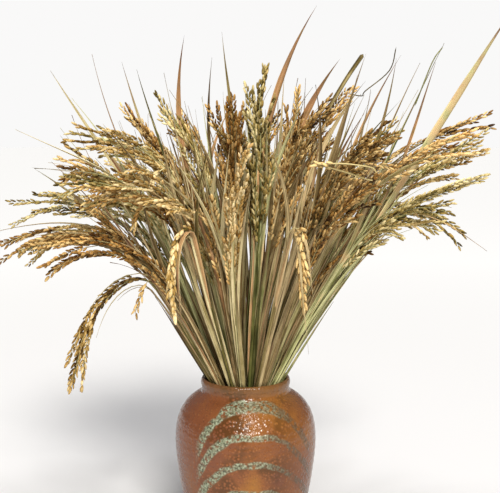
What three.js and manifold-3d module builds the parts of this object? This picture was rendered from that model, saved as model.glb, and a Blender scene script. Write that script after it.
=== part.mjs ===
// A bunch of dried rice ears standing in a stoneware vase.
// Each stem is one grown piece: a culm, its flag leaf and its drooping ear of grain.
// Millimetres, +Z up, with the origin at the middle of the vase's flat foot.

import * as THREE from "three";
import { mergeVertices } from "three/addons/utils/BufferGeometryUtils.js";
import Module from "manifold-3d";

const wasm = await Module();
wasm.setup();

const degree = Math.PI / 180;

// Vase
const rimHeight = 205;
const floorHeight = 7;
const footRadius = 43;
const bellyRadius = 71.6;
const bellyHeight = 145;
const neckRadius = 44;
const neckHeight = 193.5;
const mouthRadius = 40.3;
const lipRise = 4.6;
const wall = 5;
const vaseSegments = 32;

// Culms, whose feet stand just clear of the vase's floor
const footGap = 0.3;
const culmFootRadius = 2.3;
const culmTopRadius = 1.3;
const culmSides = 4;

// The culms draw together to a waist inside the vase and fan out from it
const waistDrop = 51;
const waistShare = 0.6;
const footShare = 0.85;

// Above the rim the whole bunch sways in slow waves, and is a share flatter front to back
const swayHeight = 160;
const swayReach = 7;
const sidewaysWave = { depth: 55, rise: 80 };
const frontWave = { width: 60, rise: 70 };
const flatness = 0.15;

// Ears: how far apart their grains sit, how far they stand out, and how far they lean to the tip
const grainPitch = 13;
const grainReach = 4.8;
const grainCore = 1.8;
const grainLean = 3;

// Side branches of the ears. Their places and lengths are shares of the ear's length, and they
// stand aside from its underside by an angle in degrees.
const branchPitch = 13;
const branchReach = 3.8;
const branchCore = 1.3;
const branchSpread = 10.5;
const branchParting = 8;
const branches = [
  { use: 20, from: 0.08, length: 0.58, lengthPlay: 0.14, aside: 50, asidePlay: 40 },
  { use: 21, from: 0.28, length: 0.58, lengthPlay: 0.14, aside: -50, asidePlay: -40 },
];

// Flag leaves. Their lean is a share of their length.
const leafWidth = 7.5;
const leafThickness = 1.3;
const leafSteps = 4;
const leafFrom = { least: 0.55, play: 0.3 };
const leafLength = { least: 0.8, play: 0.35 };
const leafAside = { least: 0.16, play: 0.14 };
const leafOut = { least: -0.08, play: 0.2 };
const leafRoll = 60;

// Rings of stems from the middle of the mouth to its rim, then two rings of late tillers, whose
// short stems and slim ears stand in the gaps between the others. Lengths run from the vase's rim
// up, and angles are in degrees: how far a culm bends outwards, and how far its ear then droops.
const rings = [
  { name: "centre", stems: 1, mouth: 0, culm: 215, bend: 3, ear: 120, droop: 14, leaf: 150 },
  { name: "inner", stems: 5, mouth: 9, culm: 212, bend: 4, ear: 122, droop: 24, leaf: 160 },
  { name: "middle", stems: 10, mouth: 18, culm: 202, bend: 6, ear: 128, droop: 36, leaf: 170 },
  { name: "outer", stems: 15, mouth: 27, culm: 195, bend: 9, ear: 134, droop: 46, leaf: 175 },
  { name: "rim", stems: 19, mouth: 36, culm: 175, bend: 13, ear: 140, droop: 56, leaf: 180 },
  { name: "late", stems: 5, mouth: 31.5, culm: 125, bend: 11, ear: 112, droop: 26, leaf: 120, slim: true },
  { name: "young", stems: 4, mouth: 22.5, culm: 130, bend: 7, ear: 108, droop: 18, leaf: 120, slim: true },
];
const ringTurn = 37;

// How far a stem may differ from its ring: by millimetres for the culm, by a share for the turn
// between neighbours and for the ear, and by degrees for the rest
const play = { turn: 0.12, sway: 3, culm: 35, bend: 2.5, ear: 0.12, droop: 12 };

// Stems that hang or reach apart from the rest. A leafTip is a place, from the vase's axis, and a
// nudge turns a stem clear of its neighbours.
const singled = {
  rice_centre_01: { bend: 6, droop: 8, leafTip: [77, 10, 575], leafRoll: -75, leafWidth: 9 },
  rice_inner_01: { bend: 9, leafTip: [102, 40, 524], leafRoll: 60, leafWidth: 9.5 },
  rice_inner_02: { culm: 192, ear: 92 },
  rice_inner_03: { bend: 3, ear: 118, droop: 20 },
  rice_inner_04: { ear: 96, leafTip: [-17, -10, 549], leafRoll: 30, leafWidth: 6 },
  rice_inner_05: { bend: 0, droop: 6 },
  rice_middle_02: { nudge: 3, culm: 184, droop: 42, leafTip: [-30, 80, 527], leafWidth: 4.5 },
  rice_middle_03: { droop: 26, leafTip: [-57, 60, 549], leafRoll: -60, leafWidth: 8 },
  rice_middle_04: { nudge: -1, ear: 116, droop: 56, leafTip: [-102, 10, 513] },
  rice_middle_05: { droop: 52 },
  rice_middle_06: { bend: 2, droop: 14 },
  rice_middle_07: { nudge: -4, droop: 28 },
  rice_middle_08: { culm: 180, droop: 52, leafTip: [115, -40, 527], leafRoll: -60 },
  rice_middle_09: {
    culm: 188, bend: 12, ear: 112, droop: 22, leafTip: [160, 20, 527], leafRoll: -95, leafWidth: 5,
  },
  rice_middle_10: { nudge: -1, bend: 2, droop: 30 },
  rice_outer_02: { leafTip: [-125, 90, 522] },
  rice_outer_03: { ear: 96, leafTip: [-145, 20, 528] },
  rice_outer_04: { ear: 90, droop: 34, leafTip: [-184, -40, 511] },
  rice_outer_05: { ear: 102, droop: 56 },
  rice_outer_06: { nudge: -3 },
  rice_outer_07: { nudge: -2 },
  rice_outer_08: { nudge: -1, bend: 2, droop: 12 },
  rice_outer_09: { bend: 6, droop: 32 },
  rice_outer_10: { slim: true, leafTip: [136, -70, 522], leafWidth: 4.5 },
  rice_outer_11: { ear: 172, droop: 26, leafTip: [194, -20, 537] },
  rice_outer_12: { ear: 172, droop: 38, leafTip: [182, 40, 520] },
  rice_outer_13: { nudge: 4 },
  rice_rim_01: { culm: 152, ear: 178, droop: 52 },
  rice_rim_02: { culm: 142, bend: 16, ear: 178, droop: 72 },
  rice_rim_03: { culm: 150, bend: 13, ear: 155, droop: 66 },
  rice_rim_04: { culm: 119, bend: 9, ear: 150, droop: 126, ease: 3.7, turn: -152, slim: true },
  rice_rim_05: { nudge: 3, culm: 140, bend: 17, ear: 168, droop: 42 },
  rice_rim_06: { nudge: 5, culm: 185, bend: 3, ear: 105, droop: 140, ease: 3.2, slim: true },
  rice_rim_07: { culm: 150, bend: 0, ear: 140, droop: 16 },
  rice_rim_08: { culm: 180, bend: 3, ear: 90, droop: 140, ease: 3.2, turn: -70, slim: true },
  rice_rim_09: { nudge: 5, culm: 160, bend: 3, droop: 30 },
  rice_rim_10: { nudge: 3, mouth: 37, culm: 165, bend: 9, ear: 124, droop: 38 },
  rice_rim_11: {
    bend: 0, ear: 150, droop: 42, slim: true, leafTip: [258, -40, 572], leafRoll: -90, leafWidth: 12,
  },
  rice_rim_12: { culm: 172, bend: 0, ear: 102, droop: 92, leafTip: [196, 30, 520] },
  rice_rim_13: { bend: 2, ear: 165, droop: 46 },
  rice_late_02: { nudge: 1, bend: 0, droop: 8, leafAside: 0.2 },
  rice_late_03: { nudge: 4, mouth: 32.5, bend: -3, ear: 100 },
  rice_late_04: { nudge: -11, mouth: 30.5 },
  rice_late_05: { nudge: -2 },
  rice_young_01: { nudge: 8, mouth: 21.5 },
  rice_young_02: { nudge: 7 },
  rice_young_03: { nudge: -10, mouth: 23.5 },
  rice_young_04: { nudge: -7, mouth: 21.5 },
};

// A fixed draw from 0 to 1 for one use on one stem
function draw(stem, use) {
  const wave = Math.sin(stem * 12.9898 + use * 78.233) * 43758.5453;
  return wave - Math.floor(wave);
}

// A fixed draw from -1 to 1
function swing(stem, use) {
  return 2 * draw(stem, use) - 1;
}

function smooth(share) {
  const t = Math.min(1, Math.max(0, share));
  return t * t * (3 - 2 * t);
}

// How far a culm stands from the vase's axis inside the vase, as a share of its place at the rim
function gather(height) {
  const waist = rimHeight - waistDrop;
  if (height > waist) return waistShare + (1 - waistShare) * ((height - waist) / waistDrop) ** 2;
  return waistShare + (footShare - waistShare) * ((waist - height) / (waist - floorHeight)) ** 2;
}

// The place of a point once the bunch has settled: a slow wave that grows above the rim
function settle(point) {
  const rise = point.z - rimHeight;
  const grown = smooth(rise / swayHeight);
  const x = point.x + grown * swayReach * Math.sin(point.y / sidewaysWave.depth + rise / sidewaysWave.rise);
  const y = point.y + grown * swayReach * Math.sin(point.x / frontWave.width - rise / frontWave.rise);
  return new THREE.Vector3(x, y - point.y * flatness * grown, point.z);
}

// The frame at a place on a stem: its side, and its underside, which a drooping ear hangs towards
function frameAt(place, turn, lean) {
  const side = new THREE.Vector3(-Math.sin(turn), Math.cos(turn), 0);
  const under = new THREE.Vector3(
    Math.cos(lean) * Math.cos(turn),
    Math.cos(lean) * Math.sin(turn),
    -Math.sin(lean),
  );
  return { place, side, under, turn };
}

// The centreline of a stem: a function that gives the frame at a length from the rim, which is
// negative inside the vase.
function centreline(stem) {
  const step = 2.5;
  const mouthLean = Math.atan((stem.mouth * 2 * (1 - waistShare)) / waistDrop);
  const leanAt = (s) => {
    if (s <= stem.culm) return mouthLean + stem.bend * degree * (s / stem.culm) ** 2;
    const share = Math.min(1, (s - stem.culm) / stem.ear);
    return mouthLean + stem.bend * degree + stem.droop * degree * (1 - (1 - share) ** stem.ease);
  };
  const track = [{ r: stem.mouth, z: rimHeight }];
  while (track.length * step < stem.culm + stem.ear * 1.3) {
    const last = track[track.length - 1];
    const lean = leanAt((track.length - 0.5) * step);
    track.push({ r: last.r + step * Math.sin(lean), z: last.z + step * Math.cos(lean) });
  }
  return (s) => {
    const turn = (stem.turn + stem.nudge + stem.sway * Math.max(0, s / stem.culm) ** 2) * degree;
    let z = rimHeight + s;
    let r = stem.mouth * gather(z);
    let lean = Math.atan(stem.mouth * (gather(z + 1) - gather(z)));
    if (s > 0) {
      const i = Math.min(track.length - 2, Math.floor(s / step));
      const f = s / step - i;
      r = track[i].r * (1 - f) + track[i + 1].r * f;
      z = track[i].z * (1 - f) + track[i + 1].z * f;
      lean = leanAt(s);
    }
    return frameAt(new THREE.Vector3(r * Math.cos(turn), r * Math.sin(turn), z), turn, lean);
  };
}

// The point at a distance from the middle of a frame, at an angle from its underside
function around(frame, reach, angle) {
  return frame.place
    .clone()
    .addScaledVector(frame.under, reach * Math.cos(angle))
    .addScaledVector(frame.side, reach * Math.sin(angle));
}

function solidOf(geometry) {
  geometry.deleteAttribute("normal");
  geometry.deleteAttribute("uv");
  const merged = mergeVertices(geometry, 1e-4);
  return new wasm.Manifold(
    new wasm.Mesh({
      numProp: 3,
      vertProperties: merged.getAttribute("position").array,
      triVerts: new Uint32Array(merged.index.array),
    }),
  );
}

function geometryOf(solid) {
  const mesh = solid.getMesh();
  const geometry = new THREE.BufferGeometry();
  geometry.setAttribute("position", new THREE.BufferAttribute(mesh.vertProperties, 3));
  geometry.setIndex(new THREE.BufferAttribute(mesh.triVerts, 1));
  geometry.computeVertexNormals();
  return geometry;
}

// A cone bent to shape. put() gives the point for a station, counted from the cone's base, and a
// corner of it, which is null on the axis.
function bentCone(corners, stations, put) {
  const cone = new THREE.ConeGeometry(1, 1, corners, stations);
  const position = cone.getAttribute("position");
  for (let i = 0; i < position.count; i++) {
    const x = position.getX(i);
    const z = position.getZ(i);
    const station = Math.round((0.5 + position.getY(i)) * stations);
    const onAxis = Math.hypot(x, z) < 1e-6;
    const corner = Math.round((Math.atan2(x, z) / (2 * Math.PI)) * corners);
    const point = settle(put(station, onAxis ? null : (corner + corners) % corners));
    position.setXYZ(i, point.x, point.y, point.z);
  }
  return solidOf(cone);
}

// How full an ear is along its length: it fills over its first fifth and thins past its middle
function fullness(share) {
  return 0.45 + 0.55 * smooth(share / 0.2) - 0.5 * smooth((share - 0.45) / 0.6);
}

// How broad a leaf is along its length: it widens over its first quarter and ends in a long point
function breadth(share) {
  return 0.35 + 0.65 * smooth(share * 4) - 0.75 * smooth((share - 0.3) / 0.8);
}

// The culm and the ear's main branch in one piece: every second corner of the ear is a grain
function culmAndEar(stem, along) {
  const foot = floorHeight + footGap - rimHeight;
  const nearRim = 25;
  const lengths = [foot, -waistDrop - nearRim, -nearRim, nearRim];
  lengths.push(stem.leafAt * stem.culm, stem.culm);
  const culmStations = lengths.length;
  const rows = Math.round(stem.ear / grainPitch);
  for (let i = 1; i <= rows; i++) lengths.push(stem.culm + (stem.ear * i) / rows);
  return bentCone(culmSides, lengths.length - 1, (station, corner) => {
    const s = lengths[station];
    if (corner === null) return along(s).place;
    const angle = (corner * 2 * Math.PI) / culmSides;
    if (station < culmStations) {
      const share = Math.max(0, s) / stem.culm;
      const radius = culmFootRadius + (culmTopRadius - culmFootRadius) * share;
      return around(along(s), radius, angle);
    }
    const isGrain = (station + corner) % 2 === 0;
    if (!isGrain) return around(along(s - grainLean), grainCore, angle);
    return around(along(s + grainLean), grainReach * fullness((s - stem.culm) / stem.ear), angle);
  });
}

// A side branch of the ear, which parts from the main one and runs beside it
function branch(stem, along, { use, from, length, lengthPlay, aside, asidePlay }) {
  const first = stem.culm + stem.ear * from;
  const reachAlong = stem.ear * (length + lengthPlay * draw(stem.number, use));
  const rows = Math.round(reachAlong / branchPitch);
  const angle = (aside + asidePlay * draw(stem.number, use + 10)) * degree;
  const corners = 3;
  return bentCone(corners, rows, (station, corner) => {
    const share = station / rows;
    const frame = along(first + reachAlong * share);
    frame.place = around(frame, branchSpread * (1 - Math.exp(-branchParting * share)), angle);
    if (corner === null) return frame.place;
    const isGrain = (station + corner) % corners === 0;
    const reach = isGrain && station > 0 ? branchReach : branchCore;
    return around(frame, reach, (corner * 2 * Math.PI) / corners);
  });
}

// The flag leaf: a long blade with a rib, which leaves the culm and rises beside the ear
function leaf(stem, along) {
  const base = along(stem.leafAt * stem.culm);
  const rising = new THREE.Vector3().crossVectors(base.under, base.side);
  const tip = stem.leafTip
    ? new THREE.Vector3(...stem.leafTip)
    : base.place
        .clone()
        .addScaledVector(rising, stem.leaf)
        .addScaledVector(base.side, stem.leaf * stem.leafAside)
        .addScaledVector(base.under, stem.leaf * stem.leafOut);
  const reach = base.place.distanceTo(tip);
  const middle = base.place.clone().addScaledVector(rising, reach / 2);
  const curve = new THREE.QuadraticBezierCurve3(base.place, middle, tip);
  return bentCone(3, leafSteps, (station, corner) => {
    const share = station / leafSteps;
    const place = curve.getPoint(share);
    if (corner === null) return place;
    const tangent = curve.getTangent(share);
    const roll = base.turn + (90 + stem.leafRoll * share) * degree;
    const across = new THREE.Vector3(Math.cos(roll), Math.sin(roll), 0);
    across.addScaledVector(tangent, -across.dot(tangent)).normalize();
    const back = new THREE.Vector3().crossVectors(across, tangent);
    if (corner === 0) return place.addScaledVector(back, leafThickness);
    const halfWidth = (stem.leafWidth * breadth(share)) / 2;
    return place.addScaledVector(across, corner === 1 ? halfWidth : -halfWidth);
  });
}

function stemSolid(stem) {
  const along = centreline(stem);
  let solid = culmAndEar(stem, along);
  if (!stem.slim) for (const plan of branches) solid = solid.add(branch(stem, along, plan));
  return solid.add(leaf(stem, along));
}

// The stems of every ring, each with its own small differences
function grownStems() {
  const stems = [];
  rings.forEach((ring, ringNumber) => {
    for (let i = 0; i < ring.stems; i++) {
      const number = stems.length;
      const name = `rice_${ring.name}_${String(i + 1).padStart(2, "0")}`;
      const within = ({ least, play: most }, use) => least + most * draw(number, use);
      stems.push({
        name,
        number,
        slim: ring.slim,
        mouth: ring.mouth,
        turn: (360 / ring.stems) * (i + play.turn * swing(number, 1)) + ringTurn * ringNumber,
        nudge: 0,
        sway: play.sway * swing(number, 2),
        culm: ring.culm - play.culm * draw(number, 3),
        bend: ring.bend + play.bend * swing(number, 4),
        ear: ring.ear * (1 + play.ear * swing(number, 5)),
        droop: ring.droop + play.droop * swing(number, 6),
        ease: 2,
        leaf: ring.leaf * within(leafLength, 7),
        leafAt: within(leafFrom, 8),
        leafAside: (draw(number, 9) < 0.5 ? -1 : 1) * within(leafAside, 10),
        leafOut: within(leafOut, 11),
        leafRoll: leafRoll * swing(number, 13),
        leafWidth,
        ...singled[name],
      });
    }
  });
  return stems;
}

// The vase, turned from half its section, whose points are given as radius and height
function vaseGeometry() {
  const outside = [
    [footRadius, 0],
    [footRadius + 1.5, 3],
    [58.8, 55],
    [65.9, 91],
    [69.3, 113],
    [71.3, 131],
    [bellyRadius, bellyHeight],
    [70.1, 159],
    [66.1, 171],
    [59.5, 180.5],
    [52, 186.5],
    [46, 190],
    [neckRadius, neckHeight],
  ];
  const inside = [
    [mouthRadius, neckHeight - 2],
    [55.3, 178],
    [bellyRadius - wall, bellyHeight],
    [60.8, 92],
    [38, floorHeight],
  ];
  const lip = new THREE.EllipseCurve(
    mouthRadius + wall / 2,
    rimHeight - lipRise,
    wall / 2,
    lipRise,
    -0.2 * Math.PI,
    1.1 * Math.PI,
  );
  const profile = [
    new THREE.Vector2(0, 0),
    ...outside.map(([r, z]) => new THREE.Vector2(r, z)),
    ...lip.getPoints(4),
    ...inside.map(([r, z]) => new THREE.Vector2(r, z)),
    new THREE.Vector2(0, floorHeight),
  ];
  return new THREE.LatheGeometry(profile, vaseSegments).rotateX(Math.PI / 2);
}

const stoneware = new THREE.MeshStandardMaterial({ color: 0x96593a, roughness: 0.35, metalness: 0 });
const straws = {
  golden: new THREE.MeshStandardMaterial({ color: 0xb08d50, roughness: 0.7, metalness: 0 }),
  greenish: new THREE.MeshStandardMaterial({ color: 0x8f8558, roughness: 0.7, metalness: 0 }),
  brown: new THREE.MeshStandardMaterial({ color: 0x84623a, roughness: 0.7, metalness: 0 }),
};

const bunch = new THREE.Group();

const vase = new THREE.Mesh(vaseGeometry(), stoneware);
vase.name = "vase";
bunch.add(vase);

for (const stem of grownStems()) {
  const tint = Object.keys(straws)[Math.floor(3 * draw(stem.number, 40))];
  const mesh = new THREE.Mesh(geometryOf(stemSolid(stem)), straws[tint]);
  mesh.name = stem.name;
  bunch.add(mesh);
}

export default bunch;
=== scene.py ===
"""Dried rice ears in a stoneware vase: every culm, blade and grain, and the glaze of the vase."""

from collections import namedtuple
from math import atan, cos, exp, floor, pi, radians, sin
from types import SimpleNamespace

import bmesh
import bpy
from mathutils import Matrix, Vector


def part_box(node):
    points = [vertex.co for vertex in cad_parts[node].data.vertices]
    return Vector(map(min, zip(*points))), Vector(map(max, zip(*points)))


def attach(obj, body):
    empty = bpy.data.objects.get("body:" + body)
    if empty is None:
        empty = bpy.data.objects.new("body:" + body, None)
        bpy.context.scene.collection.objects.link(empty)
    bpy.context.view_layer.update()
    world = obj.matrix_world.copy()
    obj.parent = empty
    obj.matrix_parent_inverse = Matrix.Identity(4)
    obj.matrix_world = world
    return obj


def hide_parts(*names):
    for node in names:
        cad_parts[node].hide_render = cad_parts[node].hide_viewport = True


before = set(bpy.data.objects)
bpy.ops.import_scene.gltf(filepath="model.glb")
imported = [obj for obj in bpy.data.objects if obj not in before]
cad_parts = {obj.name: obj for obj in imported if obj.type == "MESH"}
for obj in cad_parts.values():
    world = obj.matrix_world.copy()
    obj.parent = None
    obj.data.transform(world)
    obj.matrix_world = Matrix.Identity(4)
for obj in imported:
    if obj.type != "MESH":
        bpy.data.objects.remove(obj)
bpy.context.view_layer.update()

# Lengths below are millimetres unless they say metres, and become metres in to_metres()
MM = 0.001

# Vase
rim_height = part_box("vase")[1].z / MM
floor_height = 7
foot_radius = 43
belly_radius = 71.6
belly_height = 145
neck_radius = 44
neck_height = 193.5
mouth_radius = 40.3
wall = 5
lip_rise = 4.6
lip_arc = (-0.2 * pi, 1.1 * pi)
lip_points = 15
clay_height = 2
vase_steps = 160
throwing_pitch = 7.5
throwing_depth = 0.12

# Arches brushed on the vase, one above the other, in metres: how sharply they bend, how far their
# middle is from the front, where they end on both sides of it and over what length they fade out
# there, how high their tops are, and half the width of a stroke without and with its soft edge
arch_bend = 270
arch_middle = 0.007
arch_ends = (-0.056, 0.060)
arch_fade = 0.006
arch_tops = (0.050, 0.078, 0.106, 0.134, 0.162, 0.187)
arch_half_width = (0.0028, 0.0044)

# The way the culms stand in the vase and sway above it
foot_gap = 0.3
culm_foot = floor_height + foot_gap - rim_height
waist_drop = 51
waist_share = 0.6
foot_share = 0.85
sway_height = 160
sway_reach = 7
sideways_wave = SimpleNamespace(depth=55, rise=80)
front_wave = SimpleNamespace(width=60, rise=70)
flatness = 0.15

# Leaves. A pair holds the limits of a draw, and a power over 1 makes its low values the usual ones.
# A start is a share of the culm above the rim. A flag leaf's length is a share of its ring's usual
# one, and its tip's place aside of the culm and out from it are shares of its own length. The lower
# leaves hold close to the culm and part from it higher up, and the upper ones stand straight
flag_leaves = SimpleNamespace(
    start=(0.55, 0.85), length=(0.8, 1.15), aside=(0.16, 0.3), out=(-0.08, 0.12),
    width=(4.875, 7.125), curl=(15, 40), roll=60, tone=(0.15, 0.85), blush_power=2,
)
lower_leaves = SimpleNamespace(
    count=4, start=(-0.25, -0.05), spacing=0.24, length=(130, 240), hold=2.2, apart=(3, 15), parting=1.6,
    width=(2.5, 6), width_power=1.5, curl=(10, 45), roll=1.2, twist=1,
    tone=(0.1, 0.9), blush=(0, 1), blush_power=3,
)
upper_leaves = SimpleNamespace(
    count=3, start=(0.3, 0.65), ear_share=(0.25, 1), aside=0.16, out=0.13,
    width=(2.8, 5.4), width_power=1, curl=(10, 35), roll=1.2, twist=0.6,
    tone=(0.45, 1.05), blush=(0, 0.8), blush_power=2,
)

# What is left of dead sheaths in the mouth of the vase, from a place below its rim
stubs = SimpleNamespace(
    count=2, start=-25, length=(90, 180), apart=(3, 5.5),
    width=(3, 5.5), curl=25, roll=0.8, twist=0.5, tone=(0.13, 0.83), blush=0.2,
)

# Rings of stems from the middle of the mouth to its rim, then two rings of late tillers, whose
# short stems and slim ears stand in the gaps between the others
Ring = namedtuple("Ring", "name stems mouth culm bend ear droop leaf slim")
rings = [
    Ring("centre", 1, 0, 215, 3, 120, 14, 150, False),
    Ring("inner", 5, 9, 212, 4, 122, 24, 160, False),
    Ring("middle", 10, 18, 202, 6, 128, 36, 170, False),
    Ring("outer", 15, 27, 195, 9, 134, 46, 175, False),
    Ring("rim", 19, 36, 175, 13, 140, 56, 180, False),
    Ring("late", 5, 31.5, 125, 11, 112, 26, 120, True),
    Ring("young", 4, 22.5, 130, 7, 108, 18, 120, True),
]

# How far each ring is turned on from the one before, and how far its stems differ from each other
ring_turn = 37
play = SimpleNamespace(turn=0.12, sway=3, culm=35, bend=2.5, ear=0.12, droop=12)

# Ears: how many side branches they have, where the lowest one leaves the culm, how far they part
# from the main branch, and where its own grains begin
Habit = namedtuple("Habit", "branches low spread bare")
full_habit = Habit(10, -0.42, 14, 0.55)
slim_habit = Habit(6, -0.2, 8, 0.3)
hanging_habit = Habit(8, -0.04, 13, 0.25)
single_habit = Habit(2, 0.1, 3.5, 0.05)

# Side branches: where the highest one leaves the ear, where one may end, and how long they are at
# the ear's foot and tip, all as shares of the ear; how much of one is bare of grains; how they turn
# round the ear; and how they part from it
branch_top = 0.62
branch_end = 1.02
branch_length = (0.6, 0.3)
branch_bare = (0.16, 0.3)
branch_turn = 137.5
branch_play = SimpleNamespace(start=0.4, length=0.2, turn=90, reach=(0.18, 0.6), sag=14, winding=1.1)
branch_parting = 3.5
branch_opening = 1.6

# Stems that hang or reach apart from the rest
singled = {
    "rice_centre_01": dict(
        bend=6, droop=8, leaf_tip=(77, 10, 575), leaf_roll=-75, leaf_width=9, leaf_tone=0.55, leaf_blush=0.75
    ),
    "rice_inner_01": dict(
        bend=9, leaf_tip=(102, 40, 524), leaf_roll=60, leaf_width=9.5, leaf_tone=0.45, leaf_blush=0.7
    ),
    "rice_inner_02": dict(culm=192, ear=92),
    "rice_inner_03": dict(bend=3, ear=118, droop=20),
    "rice_inner_04": dict(ear=96, leaf_tip=(-17, -10, 549), leaf_roll=30, leaf_width=6, leaf_blush=0),
    "rice_inner_05": dict(bend=0, droop=6),
    "rice_middle_02": dict(
        nudge=3, culm=184, droop=42, leaf_tip=(-30, 80, 527), leaf_width=4.5, leaf_tone=0.15
    ),
    "rice_middle_03": dict(
        droop=26, leaf_tip=(-57, 60, 549), leaf_roll=-60, leaf_width=8, leaf_tone=0.5, leaf_blush=0.8
    ),
    "rice_middle_04": dict(nudge=-1, ear=116, droop=56, leaf_tip=(-102, 10, 513)),
    "rice_middle_05": dict(droop=52),
    "rice_middle_06": dict(bend=2, droop=14),
    "rice_middle_07": dict(nudge=-4, droop=28),
    "rice_middle_08": dict(culm=180, droop=52, leaf_tip=(115, -40, 527), leaf_roll=-60),
    "rice_middle_09": dict(
        culm=188, bend=12, ear=112, droop=22, leaf_tip=(160, 20, 527), leaf_roll=-95, leaf_width=5
    ),
    "rice_middle_10": dict(nudge=-1, bend=2, droop=30),
    "rice_outer_02": dict(leaf_tip=(-125, 90, 522)),
    "rice_outer_03": dict(ear=96, leaf_tip=(-145, 20, 528)),
    "rice_outer_04": dict(ear=90, droop=34, leaf_tip=(-184, -40, 511)),
    "rice_outer_05": dict(ear=102, droop=56),
    "rice_outer_06": dict(nudge=-3),
    "rice_outer_07": dict(nudge=-2),
    "rice_outer_08": dict(nudge=-1, bend=2, droop=12),
    "rice_outer_09": dict(bend=6, droop=32),
    "rice_outer_10": dict(habit=slim_habit, leaf_tip=(136, -70, 522), leaf_width=4.5),
    "rice_outer_11": dict(ear=172, droop=26, leaf_tip=(194, -20, 537)),
    "rice_outer_12": dict(ear=172, droop=38, leaf_tip=(182, 40, 520)),
    "rice_outer_13": dict(nudge=4),
    "rice_rim_01": dict(culm=152, ear=178, droop=52),
    "rice_rim_02": dict(culm=142, bend=16, ear=178, droop=72),
    "rice_rim_03": dict(culm=150, bend=13, ear=155, droop=66),
    "rice_rim_04": dict(culm=119, bend=9, ear=150, droop=126, ease=3.7, turn=-152, habit=hanging_habit),
    "rice_rim_05": dict(nudge=3, culm=140, bend=17, ear=168, droop=42),
    "rice_rim_06": dict(
        nudge=5, culm=185, bend=3, ear=105, droop=140, ease=3.2, leaf_width=4, pale=True, habit=single_habit
    ),
    "rice_rim_07": dict(culm=150, bend=0, ear=140, droop=16),
    "rice_rim_08": dict(
        culm=180, bend=3, ear=90, droop=140, ease=3.2, turn=-70, leaf_width=4, pale=True, habit=single_habit
    ),
    "rice_rim_09": dict(nudge=5, culm=160, bend=3, droop=30),
    "rice_rim_10": dict(nudge=3, mouth=37, culm=165, bend=9, ear=124, droop=38),
    "rice_rim_11": dict(
        bend=0, ear=150, droop=42, habit=slim_habit,
        leaf_tip=(258, -40, 572), leaf_roll=-90, leaf_width=9.5, leaf_tone=0.9, leaf_blush=0.6,
    ),
    "rice_rim_12": dict(culm=172, bend=0, ear=102, droop=92, leaf_tip=(196, 30, 520)),
    "rice_rim_13": dict(bend=2, ear=165, droop=46),
    "rice_late_02": dict(nudge=1, bend=0, droop=8, leaf_aside=0.2),
    "rice_late_03": dict(nudge=4, mouth=32.5, bend=-3, ear=100),
    "rice_late_04": dict(nudge=-11, mouth=30.5),
    "rice_late_05": dict(nudge=-2),
    "rice_young_01": dict(nudge=8, mouth=21.5),
    "rice_young_02": dict(nudge=7),
    "rice_young_03": dict(nudge=-10, mouth=23.5),
    "rice_young_04": dict(nudge=-7, mouth=21.5),
}

# Loose ends on single stems: the points that they run through, how thick they are, how light, and
# from what share of their length they carry grains
Stray = namedtuple("Stray", "points radius tone grained")
strays = {
    "rice_rim_09": [
        Stray([(111, -163, 424), (106, -159, 428), (82, -158, 431), (60, -155, 430)], 0.7, 0.8, 0.75),
        Stray([(111, -163, 420), (107, -159, 417), (85, -158, 424), (62, -155, 430)], 0.7, 0.65, 0.8),
    ],
    "rice_rim_05": [
        Stray([(-83, -76, 322), (-92, -84, 315), (-98, -84, 301), (-103, -82, 286)], 0.4, 0.8, 0.3),
    ],
    "rice_middle_05": [
        Stray([(-70, -38, 414), (-73, -85, 422), (-80, -92, 417), (-85, -92, 408)], 0.5, 1, 0.5),
    ],
    "rice_outer_06": [
        Stray(
            [(-71, -72, 377), (-79, -90, 386), (-89, -108, 389), (-97, -110, 381), (-101, -108, 368)],
            0.5, 1, 0.5,
        ),
    ],
    "rice_rim_08": [
        Stray([(36, -122, 362), (42, -130, 372), (50, -138, 371), (48, -140, 361)], 0.5, 0.9, 0.4),
    ],
    "rice_inner_01": [
        Stray([(78, 47, 462), (102, 44, 503), (119, 38, 529)], 2.3, 0.35, None),
    ],
    "rice_middle_10": [
        Stray(
            [(108, 74, 489), (121, 66, 487), (124, 62, 492), (148, 56, 513), (154, 52, 537)],
            0.6, 0.1, None,
        ),
    ],
    "rice_outer_11": [
        Stray([(164, -15, 477), (180, -15, 519), (190, -15, 534)], 0.6, 0.3, None),
    ],
}

# Culms, the sheaths that wrap them, and the ends of a culm and of its grains as shares of the ear.
# A culm has a radius at the vase's rim, at the foot of its ear and at its tip
culm_radius = (1.5, 0.9, 0.35)
culm_rows = 30
culm_columns = 7
culm_end = 0.97
grains_end = 0.99
sheath_half_width = (2.4, 1.7)
sheath_half_depth = (1.6, 1.2)
sheath_past_leaf = 6
sheath_taper = 12
sheath_rows = 24
sheath_columns = 10

# Blades: how many rows and columns of faces, how thick, and how deep their keel is
blade_rows = 19
blade_columns = 4
blade_thickness = 0.35
blade_keel = 0.9

# Side branches and loose ends: rows and columns of faces, how thick a branch is, and the steps
# between two points of a loose end
branch_rows = 9
branch_columns = 3
branch_radius = 0.42
stray_steps = 8
stray_rows = 24
stray_columns = 5

# Grains, which sit a few millimetres apart on alternate sides of a branch, and what differs from
# chain to chain and from grain to grain
grain_length = 7.6
grain_width = 3.3
grain_depth = 2.5
grain_taper = 0.25
grain_bow = 0.25
grain_pitch = 2.9
grain_tilt = 15
grain_seat = 0.9
grain_size = 0.94
chain_twist = 0.04
chain_play = SimpleNamespace(tone=0.24, blush=0.3)
grain_play = SimpleNamespace(angle=0.5, tilt=8, size=0.14, tone=0.36, blush=0.25)

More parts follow.
